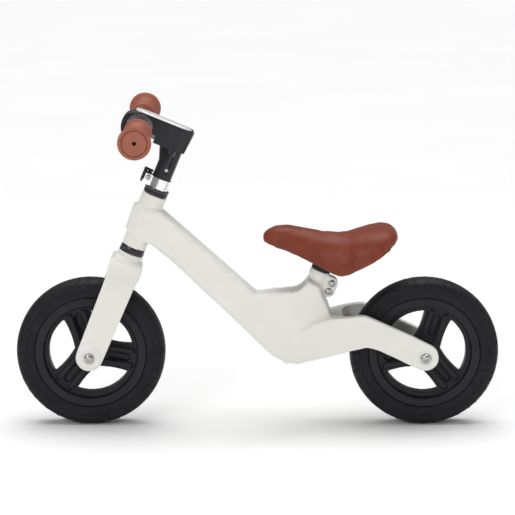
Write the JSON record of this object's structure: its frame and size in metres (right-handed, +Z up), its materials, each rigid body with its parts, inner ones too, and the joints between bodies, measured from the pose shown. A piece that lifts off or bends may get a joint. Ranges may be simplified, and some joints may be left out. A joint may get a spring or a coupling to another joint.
{
  "type": "balance bike",
  "caption": "Child's balance bike without pedals: one-piece frame, foam-tyred wheels, rigid fork, height-adjustable handlebar and padded saddle.",
  "frame": {"origin": "on the ground, midway between the two axles and on the bike's plane of symmetry", "axes": "+Z up; the bike points towards -X, so the front wheel is at -X; Y runs across the bike"},
  "size_m": [0.712, 0.338, 0.4719],
  "materials": {
    "ivory_paint": "satin powder coat on cast magnesium",
    "tyre_foam": "matt moulded EVA foam",
    "rim_plastic": "moulded glass-filled nylon",
    "bearing_steel": "ground bearing steel",
    "zinc_steel": "zinc-plated steel",
    "black_steel": "black e-coated steel",
    "polished_aluminium": "polished aluminium",
    "cast_aluminium": "cast aluminium",
    "tube_aluminium": "drawn aluminium tube",
    "black_abs": "moulded ABS, fine satin",
    "black_nylon": "moulded nylon",
    "white_abs": "glossy moulded ABS",
    "grip_rubber": "moulded rubber",
    "brown_leather": "smooth polyurethane leather on foam"
  },
  "bodies": {
    "frame": {"frame": "ivory_paint", "head_cups": "black_steel", "head_bearings": "bearing_steel", "seat_clamp_bolts": "zinc_steel", "seat_clamp_nuts": "zinc_steel", "rear_axle_bolt": "zinc_steel", "rear_axle_nut": "zinc_steel", "rear_washers": "zinc_steel", "rear_spacers": "zinc_steel"},
    "rear_wheel": {"rear_rim": "rim_plastic", "rear_tyre": "tyre_foam", "rear_bearings": "bearing_steel", "rear_bearing_sleeve": "zinc_steel"},
    "steering": {"fork": "ivory_paint", "steerer_tube": "zinc_steel", "crown_race": "black_steel", "headset_cover": "black_steel", "front_axle_bolt": "zinc_steel", "front_axle_nut": "zinc_steel", "front_washers": "zinc_steel", "front_spacers": "zinc_steel", "clamp_collar": "polished_aluminium", "clamp_bolt": "zinc_steel", "clamp_barrel_nut": "zinc_steel", "clamp_lever_pin": "zinc_steel"},
    "front_wheel": {"front_rim": "rim_plastic", "front_tyre": "tyre_foam", "front_bearings": "bearing_steel", "front_bearing_sleeve": "zinc_steel"},
    "lever": {"clamp_lever": "black_nylon"},
    "handlebar": {"handlebar_post": "black_steel", "post_wedge": "black_nylon", "stem_core": "cast_aluminium", "stem_sleeve": "black_abs", "stem_housing": "black_abs", "stem_top_cover": "white_abs", "stem_slot_screw": "zinc_steel", "stem_pinch_screws": "zinc_steel", "handlebar": "tube_aluminium", "grip_left": "grip_rubber", "grip_right": "grip_rubber", "bar_plugs": "black_nylon"},
    "saddle": {"seat_post": "black_steel", "seat_post_plug": "black_nylon", "saddle_neck": "black_nylon", "saddle_base": "black_nylon", "saddle_screws": "zinc_steel", "saddle_cover": "brown_leather"}
  },
  "joints": [
    {"name": "rear_wheel_spin", "type": "hinge", "parent": "frame", "child": "rear_wheel", "pos_m": [0.246, 0, 0.11], "axis": [0, 1, 0], "continuous": true},
    {"name": "steering_turn", "type": "hinge", "parent": "frame", "child": "steering", "pos_m": [-0.16559, 0, 0.30605], "axis": [0.3795, 0, 0.9252], "range_deg": [-90, 90]},
    {"name": "front_wheel_spin", "type": "hinge", "parent": "steering", "child": "front_wheel", "pos_m": [-0.246, 0, 0.11], "axis": [0, 1, 0], "continuous": true},
    {"name": "clamp_lever_swing", "type": "hinge", "parent": "steering", "child": "lever", "pos_m": [-0.15906, 0.014, 0.37126], "axis": [0.3795, 0, 0.9252], "range_deg": [-140, 0]},
    {"name": "handlebar_height", "type": "slide", "parent": "steering", "child": "handlebar", "axis": [0.3795, 0, 0.9252], "range_m": [0, 0.05]},
    {"name": "saddle_height", "type": "slide", "parent": "frame", "child": "saddle", "axis": [0.3746, 0, 0.9272], "range_m": [0, 0.06]}
  ]
}
